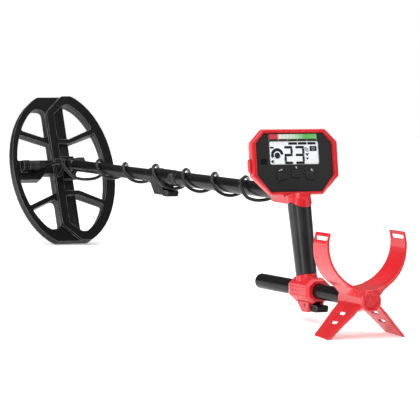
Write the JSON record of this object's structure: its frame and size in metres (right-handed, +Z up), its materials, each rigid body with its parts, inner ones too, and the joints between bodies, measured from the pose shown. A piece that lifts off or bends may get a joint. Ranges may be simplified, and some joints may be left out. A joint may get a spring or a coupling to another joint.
{
  "type": "metal detector",
  "caption": "Handheld metal detector with an elliptical open-frame search coil, telescoping black shaft, coiled cable, red control pod with display, grip and red forearm rest.",
  "frame": {"origin": "on the floor, halfway along the detector and on its middle plane", "axes": "+X forward from the armrest to the search coil, +Y to the user's left, +Z up"},
  "size_m": [1.1487, 0.178, 0.2639],
  "materials": {
    "moulded_black": "fine moulded texture, satin",
    "tube_black": "black anodised, satin",
    "fibre_black": "black glass-fibre tube, satin",
    "moulded_red": "semi-gloss moulded red",
    "rubber_black": "matt soft rubber",
    "cable_black": "satin cable jacket",
    "grip_black": "soft grip, satin",
    "winding_copper": "enamelled copper bundle",
    "steel": "plain steel",
    "lens_clear": "clear window",
    "lcd_grey": "reflective display",
    "board_green": "solder mask",
    "cell_grey": "cell jacket"
  },
  "bodies": {
    "root": {"front_clamp": "moulded_black", "face_panel": "moulded_black", "speaker": "moulded_black", "battery_tray": "moulded_black", "headphone_socket": "moulded_black", "cable_plug": "moulded_black", "upper_tube": "tube_black", "rear_clamp": "moulded_red", "pod_housing": "moulded_red", "handle_core": "moulded_red", "face_gasket": "rubber_black", "keypad": "rubber_black", "cable_wraps": "cable_black", "cable_tail": "cable_black", "grip_sleeve": "grip_black", "front_cam_pin": "steel", "rear_cam_pin": "steel", "cable_socket": "steel", "case_screw_1": "steel", "case_screw_2": "steel", "case_screw_3": "steel", "case_screw_4": "steel", "display_lens": "lens_clear", "lcd_module": "lcd_grey", "circuit_board": "board_green", "battery_cell_1": "cell_grey", "battery_cell_2": "cell_grey", "battery_cell_3": "cell_grey", "battery_cell_4": "cell_grey"},
    "coil": {"coil_housing": "moulded_black", "coil_winding_left": "winding_copper", "coil_winding_right": "winding_copper", "coil_skid_plate": "moulded_black", "cable_gland": "rubber_black", "hinge_bolt": "moulded_black", "hinge_knob": "moulded_black"},
    "lower_shaft": {"lower_shaft": "fibre_black", "shaft_tip": "moulded_black", "friction_washer_left": "rubber_black", "friction_washer_right": "rubber_black", "shaft_end_bush": "rubber_black", "cable_coil_lead": "cable_black"},
    "armrest": {"armrest": "moulded_red", "armrest_tube": "tube_black", "tube_end_cap": "rubber_black", "armrest_screw": "steel"},
    "front_lever": {"front_cam_lever": "moulded_black"},
    "rear_lever": {"rear_cam_lever": "moulded_black"},
    "button_left": {"button_left": "rubber_black"},
    "button_middle": {"button_middle": "rubber_black"},
    "button_right": {"button_right": "rubber_black"},
    "power_button": {"power_button": "moulded_red"},
    "battery_door": {"battery_door": "moulded_red"}
  },
  "joints": [
    {"name": "shaft_extend", "type": "slide", "parent": "root", "child": "lower_shaft", "axis": [0.9986, 0, -0.0523], "range_m": [-0.18, 0.1], "deforming": ["cable_wraps"]},
    {"name": "coil_tilt", "type": "hinge", "parent": "lower_shaft", "child": "coil", "pos_m": [0.48735, 0, 0.12996], "axis": [0, 1, 0], "range_deg": [-80, 65], "deforming": ["cable_coil_lead"]},
    {"name": "front_lever_open", "type": "hinge", "parent": "root", "child": "front_lever", "pos_m": [0.10638, 0, 0.129], "axis": [0, -1, 0], "range_deg": [0, 100]},
    {"name": "rear_lever_open", "type": "hinge", "parent": "root", "child": "rear_lever", "pos_m": [-0.39789, 0, 0.02254], "axis": [0, -1, 0], "range_deg": [0, 100]},
    {"name": "armrest_extend", "type": "slide", "parent": "root", "child": "armrest", "axis": [0.9986, 0, -0.0523], "range_m": [-0.09, 0.065]},
    {"name": "button_left_press", "type": "slide", "parent": "root", "child": "button_left", "axis": [0.9781, 0, -0.2079], "range_m": [0, 0.001], "stiffness_N_per_m": 400},
    {"name": "button_middle_press", "type": "slide", "parent": "root", "child": "button_middle", "axis": [0.9781, 0, -0.2079], "range_m": [0, 0.001], "stiffness_N_per_m": 400},
    {"name": "button_right_press", "type": "slide", "parent": "root", "child": "button_right", "axis": [0.9781, 0, -0.2079], "range_m": [0, 0.001], "stiffness_N_per_m": 400},
    {"name": "power_button_press", "type": "slide", "parent": "root", "child": "power_button", "axis": [0, -1, 0], "range_m": [0, 0.0012], "stiffness_N_per_m": 400},
    {"name": "battery_door_open", "type": "hinge", "parent": "root", "child": "battery_door", "pos_m": [-0.28743, 0, 0.24147], "axis": [0, -1, 0], "range_deg": [0, 110]}
  ]
}
